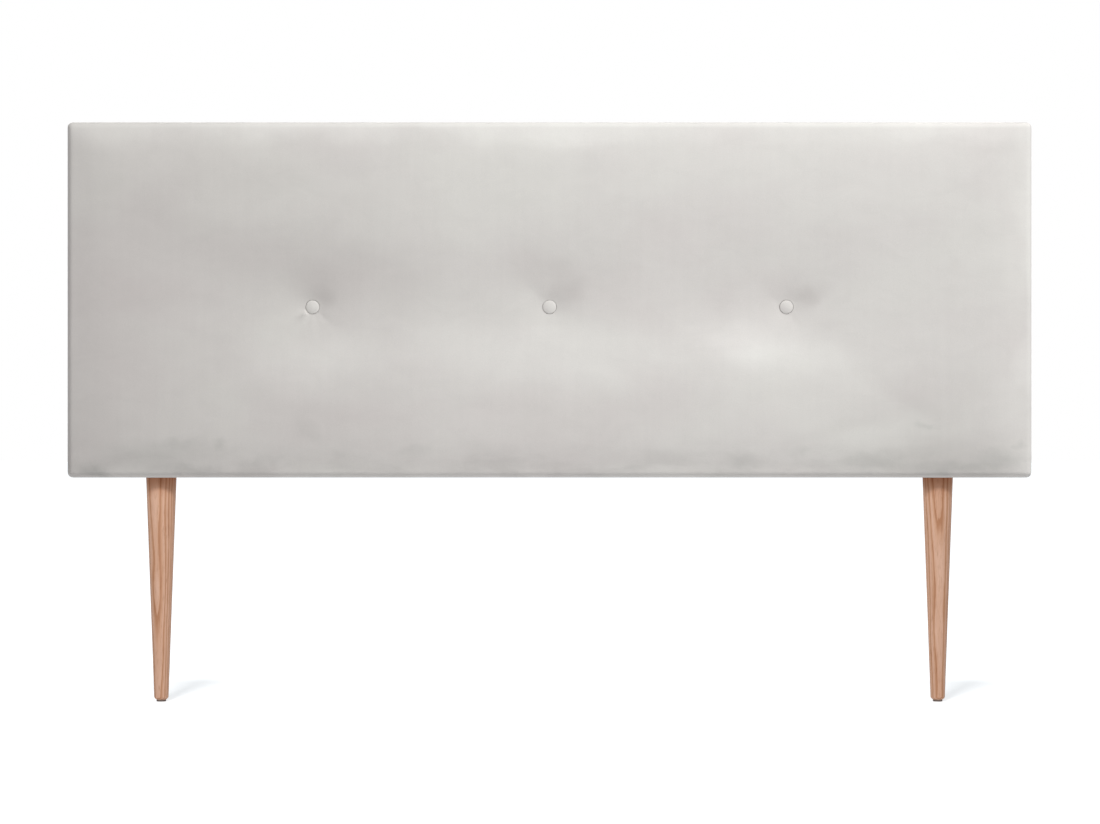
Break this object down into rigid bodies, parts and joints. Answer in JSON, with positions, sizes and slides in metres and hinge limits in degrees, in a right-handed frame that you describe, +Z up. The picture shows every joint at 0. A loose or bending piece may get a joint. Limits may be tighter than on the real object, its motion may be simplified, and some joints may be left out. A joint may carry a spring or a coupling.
{
  "type": "upholstered headboard",
  "caption": "Low wide padded headboard in velvet with small covered buttons in shallow tufts, on tapered round wooden legs that screw into its underside.",
  "frame": {"origin": "centre of the bounding box at floor level, under the middle of the board", "axes": "+X along the board to the right as seen from the bed, -Y out of the padded front, +Z up"},
  "size_m": [1.6, 0.0908, 0.9653],
  "materials": {
    "pine": "matte",
    "hardboard": "matte",
    "foam": "matte",
    "velvet": "matte",
    "dust_cloth": "matte",
    "zinc_steel": "satin",
    "twine": "matte",
    "leg_wood": "satin",
    "glide_nylon": "matte"
  },
  "bodies": {
    "board": {"top_rail": "pine", "bottom_rail": "pine", "left_end_post": "pine", "left_outer_post": "pine", "left_inner_post": "pine", "right_inner_post": "pine", "right_outer_post": "pine", "right_end_post": "pine", "lower_left_corner_block": "pine", "lower_right_corner_block": "pine", "upper_right_corner_block": "pine", "upper_left_corner_block": "pine", "frame_screws": "zinc_steel", "front_panel": "hardboard", "panel_staples": "zinc_steel", "foam_pad": "foam", "upholstery_cover": "velvet", "cover_staples": "zinc_steel", "dust_cover": "dust_cloth", "dust_cover_staples": "zinc_steel", "covered_buttons": "velvet", "button_shanks": "zinc_steel", "tufting_twines": "twine", "tie_washers": "hardboard", "leg_nuts": "zinc_steel", "left_wall_hanger": "zinc_steel", "right_wall_hanger": "zinc_steel", "hanger_screws": "zinc_steel"},
    "left_foot": {"left_glide": "glide_nylon", "left_glide_nail": "zinc_steel"},
    "left_screw_in_leg": {"left_leg": "leg_wood", "left_hanger_bolt": "zinc_steel"},
    "right_foot": {"right_glide": "glide_nylon", "right_glide_nail": "zinc_steel"},
    "right_screw_in_leg": {"right_leg": "leg_wood", "right_hanger_bolt": "zinc_steel"}
  },
  "joints": [
    {"name": "left_leg_travel", "type": "slide", "parent": "board", "child": "left_foot", "axis": [0, 0, -1], "range_m": [0, 0.015]},
    {"name": "left_leg_turn", "type": "hinge", "parent": "left_foot", "child": "left_screw_in_leg", "pos_m": [-0.65, 0.01455, 0], "axis": [0, 0, -1], "range_deg": [0, 4320]},
    {"name": "right_leg_travel", "type": "slide", "parent": "board", "child": "right_foot", "axis": [0, 0, -1], "range_m": [0, 0.015]},
    {"name": "right_leg_turn", "type": "hinge", "parent": "right_foot", "child": "right_screw_in_leg", "pos_m": [0.65, 0.01455, 0], "axis": [0, 0, -1], "range_deg": [0, 4320]}
  ],
  "couplings": [
    {"joint": "left_leg_turn", "follows": "left_leg_travel", "rad_per_m": 5026.5},
    {"joint": "right_leg_turn", "follows": "right_leg_travel", "rad_per_m": 5026.5}
  ]
}
